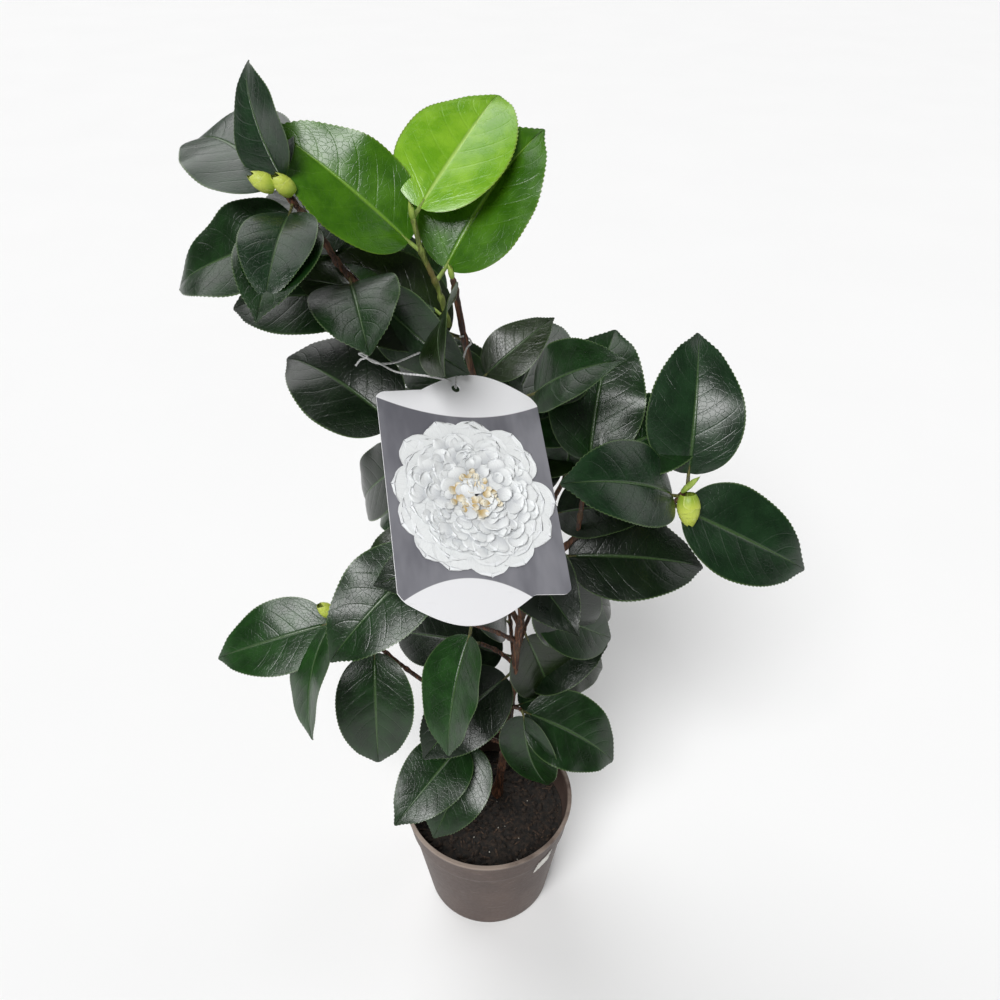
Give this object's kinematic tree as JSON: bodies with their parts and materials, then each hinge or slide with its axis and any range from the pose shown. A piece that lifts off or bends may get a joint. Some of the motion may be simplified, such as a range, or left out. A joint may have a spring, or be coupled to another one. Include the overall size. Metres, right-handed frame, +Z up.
{
  "type": "potted camellia shrub",
  "caption": "Young evergreen camellia shrub in a round nursery pot: one thin stem with side shoots, broad glossy toothed leaves, plump buds and a blank hanging picture tag.",
  "frame": {"origin": "centre of the pot's flat underside", "axes": "+Z up along the plant's height; -Y towards the side the tag faces; +X to that viewer's right"},
  "size_m": [0.4395, 0.3101, 0.7167],
  "materials": {
    "pot_plastic": "smooth matt taupe plastic",
    "compost": "moist bark and peat compost",
    "tag_card": "glossy white card",
    "bark": "thin reddish brown bark",
    "young_bark": "green first-year shoot",
    "leaf_old": "glossy leathery dark green leaf",
    "leaf_new": "glossy soft bright green leaf"
  },
  "bodies": {
    "root": {"bough_back_left": "bark", "bough_back_low": "bark", "bough_back_middle": "bark", "bough_back_right": "bark", "bough_left": "bark", "bough_mid_left": "bark", "bough_new_shoot": "young_bark", "bough_right": "bark", "bough_top_left": "bark", "compost": "compost", "foliage_back_left_inner": "leaf_old", "foliage_back_left_tip": "leaf_old", "foliage_back_low_inner": "leaf_old", "foliage_back_low_tip": "leaf_old", "foliage_back_middle_inner": "leaf_old", "foliage_back_middle_tip": "leaf_old", "foliage_back_right_inner": "leaf_old", "foliage_back_right_tip": "leaf_old", "foliage_back_upper": "leaf_old", "foliage_behind_tag": "leaf_old", "foliage_centre": "leaf_old", "foliage_centre_back": "leaf_old", "foliage_centre_front": "leaf_old", "foliage_leader": "leaf_old", "foliage_left_inner": "leaf_old", "foliage_left_tip": "leaf_old", "foliage_mid_left_high": "leaf_old", "foliage_mid_left_low": "leaf_old", "foliage_new_shoot": "leaf_new", "foliage_new_shoot_foot": "leaf_old", "foliage_pot_left": "leaf_old", "foliage_pot_right": "leaf_old", "foliage_right_base": "leaf_old", "foliage_right_fork": "leaf_old", "foliage_right_inner": "leaf_old", "foliage_right_low": "leaf_old", "foliage_right_mid": "leaf_old", "foliage_right_tip": "leaf_old", "foliage_right_upper": "leaf_old", "foliage_top_left_inner": "leaf_old", "foliage_top_left_low": "leaf_old", "foliage_top_left_tip": "leaf_old", "leader": "bark", "pot": "pot_plastic", "tag": "tag_card", "trunk": "bark"}
  },
  "joints": []
}
